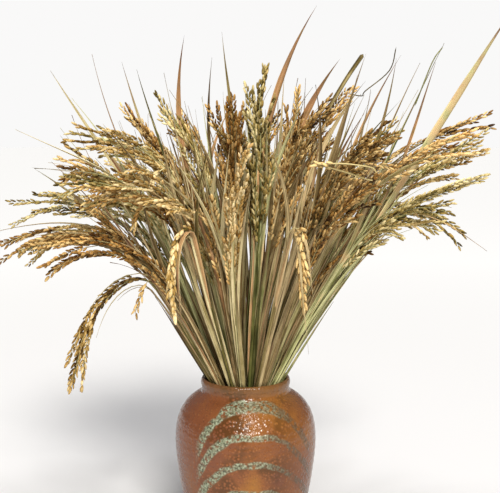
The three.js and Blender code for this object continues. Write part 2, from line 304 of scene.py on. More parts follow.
# How light the straw and the grains are, and how far they have blushed, from 0 to 1. A pair holds
# the limits of a draw, and the pale ears and the loose ends have one value for all
straw_tone = (0.2, 0.8)
straw_blush = (0, 0.3)
sheath_play = 0.25
branch_lighter = 0.3
usual_grains = SimpleNamespace(tone=(0.35, 0.65), blush=(0.1, 0.7), size=1)
pale_grains = SimpleNamespace(tone=0.72, blush=0.15, size=1.25)
loose_grains = SimpleNamespace(tone=0.9, blush=0.1)

# Camera in metres and degrees, and the photograph's frame in pixels
camera_distance = 1.1
camera_pitch = 8
camera_target = Vector((0.0045, 0, 0.338))
half_frame = 250
focal_length = 1100

# Floor, lamps and room, in metres, degrees and watts. The floor, which has painted shade close to
# the vase, grows lighter between two distances and glows a little, and the room is whiter to the camera
# than its light is on the bunch
floor_radius = 9
floor_drop = 0.0005
floor_fade = (0.3, 2.2)
floor_glow = (0.05, 0.19)
daylight_place = (0.4, -2.2, 1.9)
daylight_energy = 3.8
daylight_angle = 16
overhead_place = (0.1, -0.4, 1.7)
overhead_energy = 12
overhead_size = 0.35
room_light = 0.23
room_white = 0.95

# Three tints of straw, each with a dark, a middle and a light colour for its husks, leaves and culms
Tint = namedtuple("Tint", "slot husk leaf culm")
tints = [
    Tint(
        "straw_golden",
        husk=((0.048, 0.021, 0.002), (0.43, 0.262, 0.070), (0.90, 0.72, 0.39)),
        leaf=((0.036, 0.024, 0.004), (0.27, 0.205, 0.068), (0.78, 0.66, 0.37)),
        culm=((0.028, 0.022, 0.003), (0.22, 0.185, 0.055), (0.68, 0.60, 0.30)),
    ),
    Tint(
        "straw_greenish",
        husk=((0.040, 0.027, 0.003), (0.36, 0.258, 0.074), (0.84, 0.71, 0.38)),
        leaf=((0.026, 0.026, 0.004), (0.20, 0.195, 0.060), (0.64, 0.61, 0.31)),
        culm=((0.022, 0.023, 0.003), (0.165, 0.163, 0.045), (0.54, 0.53, 0.25)),
    ),
    Tint(
        "straw_brown",
        husk=((0.034, 0.013, 0.002), (0.32, 0.170, 0.042), (0.79, 0.57, 0.25)),
        leaf=((0.030, 0.016, 0.005), (0.22, 0.148, 0.056), (0.68, 0.53, 0.28)),
        culm=((0.026, 0.017, 0.004), (0.18, 0.132, 0.045), (0.58, 0.47, 0.22)),
    ),
]
blushed_straw = ((0.085, 0.030, 0.012), (0.40, 0.20, 0.080), (0.70, 0.47, 0.24))
withered_straw = (0.075, 0.034, 0.022, 1)
tanned_husk = (0.95, 0.76, 0.55, 1)

# Colours of the vase: its glaze, what shows on the glaze and at its sides, with painted shade on its
# right side and a painted highlight on its pebble tops, the slip of the arches and the bare clay, and
# of the floor close to the vase, darker there with painted shade, and far from it
glaze_shades = ((0.130, 0.044, 0.020), (0.205, 0.070, 0.019), (0.29, 0.118, 0.018))
glaze_left = (0.185, 0.058, 0.028, 1)
glaze_right_painted_shade = (0.115, 0.042, 0.016, 1)
glaze_lip = (0.13, 0.070, 0.026, 1)
pebble_tops_painted_highlight = (0.38, 0.17, 0.050, 1)
crackle_lines = (0.075, 0.030, 0.006, 1)
dark_specks = (0.05, 0.020, 0.010, 1)
slip_shades = ((0.045, 0.045, 0.028), (0.19, 0.205, 0.130), (0.36, 0.40, 0.28))
burnt_slip = (0.040, 0.030, 0.018, 1)
clay_shades = ((0.16, 0.075, 0.040), (0.36, 0.19, 0.11))
floor_near_painted_shade = (0.77, 0.76, 0.765, 1)
floor_far = (0.87, 0.865, 0.86, 1)


def draw(stem, use):
    """A fixed draw from 0 to 1 for one use on one stem."""
    wave = sin(stem * 12.9898 + use * 78.233) * 43758.5453
    return wave - floor(wave)


def swing(stem, use):
    """A fixed draw from -1 to 1."""
    return 2 * draw(stem, use) - 1


def blend(a, b, share):
    return a + (b - a) * share


def drawn(limits, stem, use, power=1):
    """A fixed draw between two limits."""
    return blend(*limits, draw(stem, use) ** power)


def smooth(share):
    t = min(1, max(0, share))
    return t * t * (3 - 2 * t)


# Growth of the stems

def gather(height):
    """How far a culm stands from the vase's axis inside the vase, as a share of its place at the rim."""
    waist = rim_height - waist_drop
    if height > waist:
        return waist_share + (1 - waist_share) * ((height - waist) / waist_drop) ** 2
    drop = (waist - height) / (waist - floor_height)
    return waist_share + (foot_share - waist_share) * drop**2


def settle(point):
    """The place of a point once the bunch has settled: a slow wave that grows above the rim."""
    rise = point.z - rim_height
    grown = smooth(rise / sway_height)
    x = point.x + grown * sway_reach * sin(point.y / sideways_wave.depth + rise / sideways_wave.rise)
    y = point.y + grown * sway_reach * sin(point.x / front_wave.width - rise / front_wave.rise)
    return Vector((x, y - point.y * flatness * grown, point.z))


def centreline(stem):
    """A function that gives the frame of a stem at a length from the rim, negative inside the vase."""
    step = 2.5
    past_tip = 1.3
    mouth_lean = atan(stem.mouth * 2 * (1 - waist_share) / waist_drop)

    def lean_at(s):
        if s <= stem.culm:
            return mouth_lean + radians(stem.bend) * (s / stem.culm) ** 2
        share = min(1, (s - stem.culm) / stem.ear)
        return mouth_lean + radians(stem.bend) + radians(stem.droop) * (1 - (1 - share) ** stem.ease)

    track = [(stem.mouth, rim_height)]
    while len(track) * step < stem.culm + stem.ear * past_tip:
        r, z = track[-1]
        lean = lean_at((len(track) - 0.5) * step)
        track.append((r + step * sin(lean), z + step * cos(lean)))

    def along(s):
        turn = radians(stem.turn + stem.nudge + stem.sway * max(0, s / stem.culm) ** 2)
        z = rim_height + s
        r = stem.mouth * gather(z)
        lean = atan(stem.mouth * (gather(z + 1) - gather(z)))
        if s > 0:
            i = min(len(track) - 2, int(s / step))
            f = s / step - i
            r = blend(track[i][0], track[i + 1][0], f)
            z = blend(track[i][1], track[i + 1][1], f)
            lean = lean_at(s)
        return SimpleNamespace(
            place=Vector((r * cos(turn), r * sin(turn), z)),
            side=Vector((-sin(turn), cos(turn), 0)),
            under=Vector((cos(lean) * cos(turn), cos(lean) * sin(turn), -sin(lean))),
            lean=lean,
            turn=turn,
        )

    return along


def around(at, reach, angle):
    """The point at a distance from the middle of a frame, at an angle from its underside."""
    return at.place + at.under * (reach * cos(angle)) + at.side * (reach * sin(angle))


def breadth(share):
    """How broad a blade is along its length: it widens, narrows slowly and ends in a long point."""
    pointed = min(1, (1 - share) / 0.3) ** 0.9 if share < 1 else 0
    return (0.35 + 0.65 * smooth(share * 4) - 0.6 * smooth((share - 0.3) / 0.8)) * pointed


def grown_stems():
    """The stems of every ring, each with its own small differences."""
    stems = []
    for ring_number, ring in enumerate(rings):
        for i in range(ring.stems):
            n = len(stems)
            name = f"rice_{ring.name}_{i + 1:02d}"
            values = dict(
                name=name,
                number=n,
                mouth=ring.mouth,
                turn=360 / ring.stems * (i + play.turn * swing(n, 1)) + ring_turn * ring_number,
                nudge=0,
                sway=play.sway * swing(n, 2),
                culm=ring.culm - play.culm * draw(n, 3),
                bend=ring.bend + play.bend * swing(n, 4),
                ear=ring.ear * (1 + play.ear * swing(n, 5)),
                droop=ring.droop + play.droop * swing(n, 6),
                ease=2,
                leaf=ring.leaf * drawn(flag_leaves.length, n, 7),
                leaf_at=drawn(flag_leaves.start, n, 8),
                leaf_aside=(-1 if draw(n, 9) < 0.5 else 1) * drawn(flag_leaves.aside, n, 10),
                leaf_out=drawn(flag_leaves.out, n, 11),
                leaf_roll=flag_leaves.roll * swing(n, 13),
                leaf_width=drawn(flag_leaves.width, n, 12),
                leaf_tip=None,
                leaf_tone=drawn(flag_leaves.tone, n, 46),
                leaf_blush=draw(n, 47) ** flag_leaves.blush_power,
                pale=False,
                habit=slim_habit if ring.slim else full_habit,
                tint=tints[floor(3 * draw(n, 40))],
            )
            values.update(singled.get(name, {}))
            stems.append(SimpleNamespace(**values))
    return stems


# Meshes

CULM, LEAF, HUSK = range(3)


def new_mesh():
    """An empty bmesh with a UV map that runs along each part, and its shade and colour."""
    bm = bmesh.new()
    bm.loops.layers.uv.new("along")
    bm.verts.layers.float.new("tone")
    bm.verts.layers.float.new("blush")
    return bm


def dye(bm, verts, tone, blush):
    tone_layer = bm.verts.layers.float["tone"]
    blush_layer = bm.verts.layers.float["blush"]
    for v in verts:
        v[tone_layer] = tone
        v[blush_layer] = blush


def finished_faces(verts, finish):
    """The faces on some points, each once and in a fixed order, made smooth and given a finish."""
    faces = list(dict.fromkeys(face for v in verts for face in v.link_faces))
    for face in faces:
        face.material_index = finish
        face.smooth = True
    return faces


def skin(bm, rows, columns, station, section, finish, tone, blush):
    """A grid bent to shape. station() gives the place and two axes at a share of its length, and
    section() the offsets along these axes at a place across it, from -1 to 1."""
    verts = bmesh.ops.create_grid(bm, x_segments=columns, y_segments=rows, size=0.5, calc_uvs=True)["verts"]
    stations = [station(i / rows) for i in range(rows + 1)]
    for v in verts:
        share = v.co.y + 0.5
        place, across, back = stations[round(share * rows)]
        x, y = section(share, 2 * v.co.x)
        v.co = place + across * x + back * y
    dye(bm, verts, tone, blush)
    return verts, finished_faces(verts, finish)


def sewn(bm, verts, faces):
    """Merges the points that meet, and gives back the faces that are left."""
    bmesh.ops.remove_doubles(bm, verts=verts, dist=1e-5)
    return [face for face in faces if face.is_valid]


def tube(bm, rows, columns, station, radii, finish, tone, blush):
    """A closed tube. radii() gives its half width and half depth, which are nothing at its ends."""
    def section(share, across):
        half_width, half_depth = radii(share)
        return half_width * cos(pi * across), half_depth * sin(pi * across)

    faces = sewn(bm, *skin(bm, rows, columns, station, section, finish, tone, blush))
    bmesh.ops.recalc_face_normals(bm, faces=faces)


def strip(bm, rows, columns, station, section, finish, tone, blush):
    """A thin blade with two faces and an edge all round."""
    faces = sewn(bm, *skin(bm, rows, columns, station, section, finish, tone, blush))
    bmesh.ops.solidify(bm, geom=faces, thickness=blade_thickness)


def join(bm, part):
    """Moves the whole of one bmesh into another."""
    carrier = bpy.data.meshes.new("carrier")
    part.to_mesh(carrier)
    part.free()
    bm.from_mesh(carrier)
    bpy.data.meshes.remove(carrier)


def to_metres(bm):
    bmesh.ops.scale(bm, vec=(MM, MM, MM), verts=bm.verts)


def to_piece(bm, name, materials):
    mesh = bpy.data.meshes.new(name)
    to_metres(bm)
    bm.to_mesh(mesh)
    bm.free()
    for material in materials:
        mesh.materials.append(material)
    piece = bpy.data.objects.new(name, mesh)
    bpy.context.scene.collection.objects.link(piece)
    return piece


def axes_of(path, share, roll):
    """The place on a path, and an axis across it and one at its back, turned by an angle about it."""
    place = path(share)
    step = 0.01
    tangent = (path(min(1, share + step)) - path(max(0, share - step))).normalized()
    across = Vector((cos(roll), sin(roll), 0))
    across = (across - tangent * across.dot(tangent)).normalized()
    return place, across, across.cross(tangent)


def blade(bm, path, roll, twist, width, curl, tone, blush):
    """A long leaf blade along a path, folded at its rib."""
    def station(share):
        return axes_of(path, share, roll + twist * share)

    def section(share, across):
        half_width = width * breadth(share) / 2
        folded = curl * (1 - share * 0.5)
        x = half_width * across * cos(folded)
        return x, blade_keel * breadth(share) - half_width * abs(across) * sin(folded)

    strip(bm, blade_rows, blade_columns, station, section, LEAF, tone, blush)


def twig(bm, stem, path, rows, columns, radius, tone, blush):
    """A thin round branch or straw along a path."""
    def station(share):
        return axes_of(path, share, stem.turned)

    def radii(share):
        reach = radius if 0 < share < 1 else 0
        return reach, reach

    tube(bm, rows, columns, station, radii, CULM, tone, blush)


def eased_curve(points, steps):
    """A smooth curve through a list of points, with a few steps between neighbours."""
    ends = [points[0] * 2 - points[1], *points, points[-1] * 2 - points[-2]]
    curve = []
    for a, b, c, d in zip(ends, ends[1:], ends[2:], ends[3:]):
        for i in range(steps):
            t = i / steps
            bent = (c - a) * t + (a * 2 - b * 5 + c * 4 - d) * t**2 + (b * 3 - a - c * 3 + d) * t**3
            curve.append(b + bent / 2)
    return [*curve, points[-1]]


# Parts of a stem

def culm(bm, stem, along):
    """The culm and the ear's main branch, from the vase's floor to the last grain."""
    top = stem.culm + stem.ear * culm_end

    def at(share):
        return blend(culm_foot, top, share)

    def station(share):
        here = along(at(share))
        return settle(here.place), here.under, here.side

    def radii(share):
        s = at(share)
        if share in (0, 1):
            return 0, 0
        if s < stem.culm:
            radius = blend(culm_radius[0], culm_radius[1], max(0, s / stem.culm))
        else:
            radius = blend(culm_radius[1], culm_radius[2], (s - stem.culm) / stem.ear)
        return radius, radius

    tube(bm, culm_rows, culm_columns, station, radii, CULM, stem.tone, stem.blush)


def sheath(bm, stem, along):
    """The leaf sheath: a flattened sleeve round the culm up to where the flag leaf leaves it."""
    top = stem.leaf_at * stem.culm + sheath_past_leaf
    facing = pi * swing(stem.number, 44)

    def station(share):
        here = along(blend(culm_foot, top, share))
        turned = facing + share
        across = here.under * cos(turned) + here.side * sin(turned)
        back = here.side * cos(turned) - here.under * sin(turned)
        return settle(here.place), across, back

    def radii(share):
        if share in (0, 1):
            return 0, 0
        taper = min(1, (1 - share) * sheath_taper) ** 0.5
        return blend(*sheath_half_width, share) * taper, blend(*sheath_half_depth, share) * taper

    tone = stem.tone + sheath_play * swing(stem.number, 45)
    tube(bm, sheath_rows, sheath_columns, station, radii, CULM, tone, stem.blush)


def flag_leaf(bm, stem, along):
    """The flag leaf, which leaves the culm and rises beside the ear."""
    base = along(stem.leaf_at * stem.culm)
    rising = base.under.cross(base.side)
    tip = base.place + rising * stem.leaf
    tip += base.side * (stem.leaf * stem.leaf_aside) + base.under * (stem.leaf * stem.leaf_out)
    if stem.leaf_tip:
        tip = Vector(stem.leaf_tip)
    middle = base.place + rising * ((tip - base.place).length / 2)

    def path(share):
        first = base.place.lerp(middle, share)
        return settle(first.lerp(middle.lerp(tip, share), share))

    roll = base.turn + pi / 2
    curl = radians(drawn(flag_leaves.curl, stem.number, 48))
    blade(bm, path, roll, radians(stem.leaf_roll), stem.leaf_width, curl, stem.leaf_tone, stem.leaf_blush)


def narrow_leaf(bm, stem, path, turn, kind, use):
    """A blade along a path, whose width, curl and colour are drawn for its kind of leaf."""
    n = stem.number
    tone = drawn(kind.tone, n, use + 4)
    blush = drawn(kind.blush, n, use + 5, kind.blush_power)
    roll = turn + pi / 2 + kind.roll * swing(n, use + 6)
    width = drawn(kind.width, n, use + 7, kind.width_power)
    curl = radians(drawn(kind.curl, n, use + 8))
    blade(bm, path, roll, kind.twist * swing(n, use + 9), width, curl, tone, blush)


def lower_leaf(bm, stem, along, k):
    """A narrow leaf from low on the culm, which runs up beside it."""
    n = stem.number
    use = 50 + 10 * k
    first = stem.culm * (drawn(lower_leaves.start, n, use) + lower_leaves.spacing * k)
    length = drawn(lower_leaves.length, n, use + 1)
    angle = 2 * pi * draw(n, use + 2)
    apart = drawn(lower_leaves.apart, n, use + 3)

    def path(share):
        reach = lower_leaves.hold + apart * share**lower_leaves.parting
        return settle(around(along(first + length * share), reach, angle))

    narrow_leaf(bm, stem, path, along(first).turn, lower_leaves, use)


def upper_leaf(bm, stem, along, k):
    """A stiff, narrow leaf that stands straight up through the ears."""
    n = stem.number
    use = 100 + 10 * k
    start = drawn(upper_leaves.start, n, use)
    base = along(stem.culm * start)
    rising = base.under.cross(base.side)
    length = stem.culm * (1 - start) + stem.ear * drawn(upper_leaves.ear_share, n, use + 1)
    leaning = base.side * (upper_leaves.aside * swing(n, use + 2))
    leaning += base.under * (upper_leaves.out * swing(n, use + 3))

    def path(share):
        return settle(base.place + rising * (length * share) + leaning * (length * share**2))

    narrow_leaf(bm, stem, path, base.turn, upper_leaves, use)


def stub(bm, stem, along, k):
    """What is left of a dead sheath, between the culms in the mouth of the vase and a little above it."""
    n = stem.number
    use = 150 + 10 * k
    length = drawn(stubs.length, n, use)
    angle = 2 * pi * draw(n, use + 1)

    def path(share):
        return settle(around(along(stubs.start + length * share), blend(*stubs.apart, share), angle))

    tone = drawn(stubs.tone, n, use + 2)
    roll = along(stubs.start).turn + pi / 2 + stubs.roll * swing(n, use + 3)
    width = drawn(stubs.width, n, use + 4)
    blade(bm, path, roll, stubs.twist * swing(n, use + 5), width, radians(stubs.curl), tone, stubs.blush)


def grain_blank(bm):
    """One grain in its husk, from its foot at the origin to its blunt tip on +Z."""
    verts = bmesh.ops.create_uvsphere(bm, u_segments=6, v_segments=5, radius=1, calc_uvs=True)["verts"]
    for v in verts:
        rise = (v.co.z + 1) / 2
        full = 1 - grain_taper * rise
        v.co = Vector((v.co.x * full, v.co.y * full + grain_bow * (rise - 0.5) ** 2, rise))
    bmesh.ops.scale(bm, vec=(grain_width / 2, grain_depth / 2, grain_length), verts=verts)
    edges = list(dict.fromkeys(edge for v in verts for edge in v.link_edges))
    return verts + edges + finished_faces(verts, HUSK)


def points_of(geometry):
    return [item for item in geometry if isinstance(item, bmesh.types.BMVert)]


def set_grain(bm, blank, foot, pointing, outward, size, tone, blush):
    """A copy of the grain with its foot at a place, pointing one way and its keel another."""
    verts = points_of(bmesh.ops.duplicate(bm, geom=blank)["geom"])
    across = outward.cross(pointing).normalized()
    turned = Matrix((across, pointing.cross(across), pointing)).transposed().to_4x4()
    placed = Matrix.Translation(foot) @ turned @ Matrix.Scale(size, 4)
    bmesh.ops.transform(bm, matrix=placed, verts=verts)
    dye(bm, verts, tone, blush)


def grains(bm, stem, path, length, first, last, use):
    """Grains on alternate sides of a branch, between two shares of its length."""
    n = stem.number
    count = max(2, round((last - first) * length / (grain_pitch * stem.grain_size)))
    opening = 2 * pi * draw(n, use)
    chain_tone = stem.grain_tone + chain_play.tone * swing(n, use + 0.2)
    chain_blush = stem.grain_blush + chain_play.blush * swing(n, use + 0.4)
    chain = new_mesh()
    blank = grain_blank(chain)
    for i in range(count):
        share = blend(first, last, (i + 0.5) / count)
        seed = use * 31 + i
        place, across, back = axes_of(path, share, stem.turned)
        tangent = back.cross(across)
        angle = opening + pi * i + chain_twist * share * length + grain_play.angle * swing(n, seed)
        outward = across * cos(angle) + back * sin(angle)
        tilt = radians(grain_tilt + grain_play.tilt * swing(n, seed + 0.3))
        pointing = tangent * cos(tilt) + outward * sin(tilt)
        size = stem.grain_size * (grain_size + grain_play.size * swing(n, seed + 0.5))
        tone = chain_tone + grain_play.tone * swing(n, seed + 0.7)
        blush = chain_blush + grain_play.blush * swing(n, seed + 0.9)
        set_grain(chain, blank, place + outward * (grain_seat * size), pointing, outward, size, tone, blush)
    bmesh.ops.delete(chain, geom=points_of(blank), context="VERTS")
    join(bm, chain)


def ear(bm, stem, along):
    """The drooping ear: its main branch ends in grains, and side branches full of them part from it."""

    def main(share):
        return settle(along(stem.culm + stem.ear * share).place)

    n = stem.number
    habit = stem.habit
    tone = stem.tone + branch_lighter
    grains(bm, stem, main, stem.ear, habit.bare, grains_end, 100)
    for k in range(habit.branches):
        use = 110 + 7 * k
        rank = (k + branch_play.start * swing(n, use)) / habit.branches
        start = blend(habit.low, branch_top, rank)
        usual = blend(*branch_length, start) * (1 + branch_play.length * swing(n, use + 1))
        length = stem.ear * min(branch_end - start, usual)
        angle = radians((k * branch_turn + branch_play.turn * swing(n, use + 2)) % 360 - 180)
        reach = habit.spread * drawn(branch_play.reach, n, use + 3)
        sag = branch_play.sag * draw(n, use + 4)
        winding = branch_play.winding * swing(n, use + 4.5)

        def path(share):
            here = along(stem.culm + stem.ear * start + length * share)
            apart = 1 - exp(-branch_parting * share) + share**branch_opening
            place = around(here, reach * apart, angle + winding * share)
            place.z -= sag * share**2 * abs(sin(here.lean))
            return settle(place)

        twig(bm, stem, path, branch_rows, branch_columns, branch_radius, tone, stem.blush)
        grains(bm, stem, path, length, drawn(branch_bare, n, use + 6), 1, use + 5)


def loose_end(bm, stem, loose, use):
    """A straw or a broken branch of the ear, which runs its own way through a few points."""
    curve = eased_curve([Vector(point) for point in loose.points], stray_steps)

    def path(share):
        at = share * (len(curve) - 1)
        i = min(len(curve) - 2, int(at))
        return curve[i].lerp(curve[i + 1], at - i)

    twig(bm, stem, path, stray_rows, stray_columns, loose.radius, loose.tone, loose_grains.blush)
    if loose.grained:
        length = sum((b - a).length for a, b in zip(curve, curve[1:]))
        grains(bm, stem, path, length, loose.grained, 1, use)


def rice_stem(stem, finishes):
    """One stem as one piece: its culm, sheath, blades and ear."""
    n = stem.number
    stem.tone = drawn(straw_tone, n, 41)
    stem.blush = drawn(straw_blush, n, 42)
    stem.grain_tone = drawn(usual_grains.tone, n, 43)
    stem.grain_blush = drawn(usual_grains.blush, n, 49)
    stem.grain_size = usual_grains.size
    if stem.pale:
        stem.grain_tone = pale_grains.tone
        stem.grain_blush = pale_grains.blush
        stem.grain_size = pale_grains.size
    along = centreline(stem)
    stem.turned = along(stem.culm).turn + pi / 2
    bm = new_mesh()
    culm(bm, stem, along)
    sheath(bm, stem, along)
    flag_leaf(bm, stem, along)
    for k in range(lower_leaves.count):
        lower_leaf(bm, stem, along, k)
    for k in range(upper_leaves.count):
        upper_leaf(bm, stem, along, k)
    for k in range(stubs.count):
        stub(bm, stem, along, k)
    ear(bm, stem, along)
    stem.grain_tone = loose_grains.tone
    stem.grain_blush = loose_grains.blush
    for k, loose in enumerate(strays.get(stem.name, [])):
        loose_end(bm, stem, loose, 300 + k)
    piece = to_piece(bm, f"straw_{stem.name}", finishes[stem.tint.slot])
    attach(piece, "root")
    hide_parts(stem.name)
    return piece


# Vase

def vase_profile():
    """Half the vase's section, as radius and height, from the middle of its foot round to its floor."""
    outside = [
        (foot_radius + 1.5, 3),
        (58.8, 55),
        (65.9, 91),
        (69.3, 113),
        (71.3, 131),
        (belly_radius, belly_height),
        (70.1, 159),
        (66.1, 171),
        (59.5, 180.5),
        (52, 186.5),
        (46, 190),
        (neck_radius, neck_height),
    ]
    inside = [
        (mouth_radius, neck_height - 2),
        (55.3, 178),
        (belly_radius - wall, belly_height),
        (60.8, 92),
        (38, floor_height),
    ]
    side = eased_curve([Vector(point) for point in outside], 10)
    for point in side:
        point.x -= throwing_depth * (1 + sin(2 * pi * point.y / throwing_pitch))
    lip_middle = Vector((mouth_radius + wall / 2, rim_height - lip_rise))
    lip = []
    for i in range(lip_points):
        angle = blend(*lip_arc, i / (lip_points - 1))
        lip.append(lip_middle + Vector((wall / 2 * cos(angle), lip_rise * sin(angle))))
    bore = eased_curve([Vector(point) for point in inside], 5)
    foot = [Vector((0, 1.2)), Vector((34, 1.2)), Vector((37, 0)), Vector((foot_radius, 0))]
    return [*foot, *side, *lip, *bore, Vector((0, floor_height))]


def vase_piece(glaze, clay):
    """The thrown vase, spun from its section."""
    bm = bmesh.new()
    profile = vase_profile()
    verts = [bm.verts.new((point.x, 0, point.y)) for point in profile]
    edges = [bm.edges.new(pair) for pair in zip(verts, verts[1:])]
    bmesh.ops.spin(
        bm, geom=[*verts, *edges], cent=(0, 0, 0), axis=(0, 0, 1),
        angle=2 * pi, steps=vase_steps, use_merge=True,
    )
    bmesh.ops.remove_doubles(bm, verts=bm.verts, dist=1e-4)
    bmesh.ops.recalc_face_normals(bm, faces=bm.faces)
    for face in bm.faces:
        face.smooth = True
        face.material_index = 1 if face.calc_center_median().z < clay_height else 0
    piece = to_piece(bm, "stoneware_vase", [glaze, clay])
    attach(piece, "root")
    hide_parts("vase")
    return piece


# Finishes

class Finish:
    """A material whose shader is fed by a few nodes."""

    def __init__(self, name):
        self.material = bpy.data.materials.new(name)
        self.material.use_nodes = True
        self.tree = self.material.node_tree
        self.shader = self.tree.nodes["Principled BSDF"]

    def feed(self, socket, value):
        if isinstance(value, bpy.types.NodeSocket):
            self.tree.links.new(value, socket)
        else:
            socket.default_value = value

    def node(self, kind, inputs, output=0, **settings):
        made = self.tree.nodes.new("ShaderNode" + kind)
        for key, value in settings.items():
            setattr(made, key, value)
        for key, value in inputs.items():
            self.feed(made.inputs[key], value)
        return made.outputs[output]

    def math(self, operation, a, b=0, clamp=False):
        return self.node("Math", {0: a, 1: b}, operation=operation, use_clamp=clamp)

    def mix(self, share, a, b, way="MIX"):
        return self.node("Mix", {0: share, 6: a, 7: b}, 2, data_type="RGBA", blend_type=way)

    def attribute(self, name):
        return self.node("Attribute", {}, 2, attribute_name=name)

    def noise(self, vector, scale, detail=2, seed=0):
        inputs = {"Vector": vector, "W": seed, "Scale": scale, "Detail": detail}
        return self.node("TexNoise", inputs, noise_dimensions="4D")

    def cells(self, vector, scale):
        return self.node("TexVoronoi", {"Vector": vector, "Scale": scale})

    def stretched(self, vector, scale):
        return self.node("Mapping", {"Vector": vector, "Scale": scale})

    def ramp(self, share, stops):
        made = self.tree.nodes.new("ShaderNodeValToRGB")
        self.feed(made.inputs[0], share)
        points = made.color_ramp.elements
        stops = list(stops)
        while len(points) < len(stops):
            points.new(0.5)
        for point, (place, colour) in zip(points, stops):
            point.position = place
            point.color = (*colour, 1)
        return made.outputs[0]

    def shades(self, share, colours):
        """A ramp from a dark colour through a middle one to a light one."""
        return self.ramp(share, zip((0, 0.5, 1), colours))

    def parts(self, vector):
        made = self.tree.nodes.new("ShaderNodeSeparateXYZ")
        self.feed(made.inputs[0], vector)
        return list(made.outputs)

    def span(self, value, low, high, to_low=0, to_high=1):
        inputs = {0: value, 1: low, 2: high, 3: to_low, 4: to_high}
        return self.node("MapRange", inputs)

    def varied(self, value, noise, reach, low=0.3, high=0.7):
        """A value that a noise moves up or down by as much as a reach."""
        return self.math("ADD", value, self.span(noise, low, high, -reach, reach))

    def bump(self, height, strength, distance):
        return self.node("Bump", {"Height": height, "Strength": strength, "Distance": distance})


def straw_finish(name, colours, veins, withered, roughness):
    """Dry grass: long fibres, pale margins that are also a painted highlight along the edges, dull
    blotches, rust where it blushed, and a tip that has withered by a share."""
    finish = Finish(name)
    uv = finish.node("UVMap", {}, uv_map="along")
    place = finish.node("TexCoord", {}, 3)
    tone = finish.attribute("tone")
    blush = finish.attribute("blush")
    seed = finish.math("MULTIPLY", tone, 40)
    streaks = finish.noise(finish.stretched(uv, (12, 1.2, 1)), 1, 3, seed)
    blotches = finish.noise(place, 45, 3, seed)
    across, along = finish.parts(uv)[:2]
    ribs = finish.math("SINE", finish.math("MULTIPLY", across, 2 * pi * veins))
    middle = finish.math("ABSOLUTE", finish.math("SUBTRACT", across, 0.5))
    shade = finish.varied(finish.varied(tone, streaks, 0.36), blotches, 0.2)
    # Pale margins at the edges, which are also a painted highlight along them.
    shade = finish.math("ADD", shade, finish.span(middle, 0.4, 0.48, 0, 0.3))
    shade = finish.math("ADD", shade, finish.math("MULTIPLY", ribs, 0.05), clamp=True)
    colour = finish.shades(shade, colours)
    spread = finish.varied(blush, blotches, 0.25, 0.35, 0.65)
    colour = finish.mix(finish.span(spread, 0.35, 0.75), colour, finish.shades(shade, blushed_straw))
    end = finish.varied(along, blotches, 0.2)
    dead = finish.math("MULTIPLY", finish.span(end, 0.6, 1, 0, withered), finish.span(blush, 0, 0.3, 0.3, 1))
    colour = finish.mix(dead, colour, withered_straw)
    finish.feed(finish.shader.inputs["Base Color"], colour)
    relief = finish.math("ADD", finish.math("MULTIPLY", ribs, 0.5), streaks)
    finish.feed(finish.shader.inputs["Normal"], finish.bump(relief, 0.5, 0.0003))
    finish.shader.inputs["Roughness"].default_value = roughness
    finish.shader.inputs["Specular IOR Level"].default_value = 0.12
    return finish.material


def husk_finish(name, colours):
    """Rice husk: ridged along the grain, dull gold, with freckles and a darker foot, which is painted shade
    where it sits on the branch.
    """
    finish = Finish(name)
    uv = finish.node("UVMap", {}, uv_map="along")
    place = finish.node("TexCoord", {}, 3)
    tone = finish.attribute("tone")
    blush = finish.attribute("blush")
    across, along = finish.parts(uv)[:2]
    ridges = finish.math("SINE", finish.math("MULTIPLY", across, 2 * pi * 6))
    freckles = finish.noise(place, 420, 2)
    # Painted shade: darker towards the foot of the grain, where it sits on the branch among the others.
    shade = finish.math("ADD", tone, finish.span(along, 0, 0.4, -0.4, 0.04))
    shade = finish.varied(shade, freckles, 0.18)
    shade = finish.math("ADD", shade, finish.math("MULTIPLY", ridges, 0.07), clamp=True)
    colour = finish.shades(shade, colours)
    tanned = finish.mix(1, colour, tanned_husk, "MULTIPLY")
    finish.feed(finish.shader.inputs["Base Color"], finish.mix(finish.span(blush, 0.4, 1), colour, tanned))
    finish.feed(finish.shader.inputs["Normal"], finish.bump(ridges, 0.45, 0.0003))
    finish.shader.inputs["Roughness"].default_value = 0.45
    finish.shader.inputs["Specular IOR Level"].default_value = 0.12
    return finish.material


def rust_colour(finish, place, clouds, pebbles):
    """The glaze itself: cloudy rust that is duller at both sides, redder at the left and darker at the
    right, where the darkening is painted shade, and browner at the lip, with lighter pebble tops, which are
    a painted highlight, dark crackle between them in patches, and specks."""
    x, _, z = finish.parts(place)
    grit = finish.noise(place, 700, 2)
    patches = finish.noise(place, 34, 2)
    colour = finish.shades(finish.span(clouds, 0.3, 0.7), glaze_shades)
    colour = finish.mix(finish.span(x, -0.07, 0.01, 0.75, 0), colour, glaze_left)
    # Painted shade: darkens the right side of the glaze, against the daylight that falls from the right.
    colour = finish.mix(finish.span(x, 0.01, 0.07, 0, 0.35), colour, glaze_right_painted_shade)
    # Painted highlight: the tops of the pebbles are lighter, as if they caught the light.
    colour = finish.mix(finish.span(pebbles, 0.5, 0.95, 0, 0.35), colour, pebble_tops_painted_highlight)
    between = finish.span(pebbles, 0.1, 0.5, 0.8, 0)
    crackle = finish.math("MULTIPLY", between, finish.span(patches, 0.44, 0.56))
    front = finish.span(finish.math("ABSOLUTE", x), 0.025, 0.05, 1, 0.15)
    colour = finish.mix(finish.math("MULTIPLY", crackle, front), colour, crackle_lines)
    colour = finish.mix(finish.span(grit, 0.6, 0.7, 0, 0.7), colour, dark_specks)
    return finish.mix(finish.span(z, 0.192, 0.199, 0, 0.55), colour, glaze_lip)


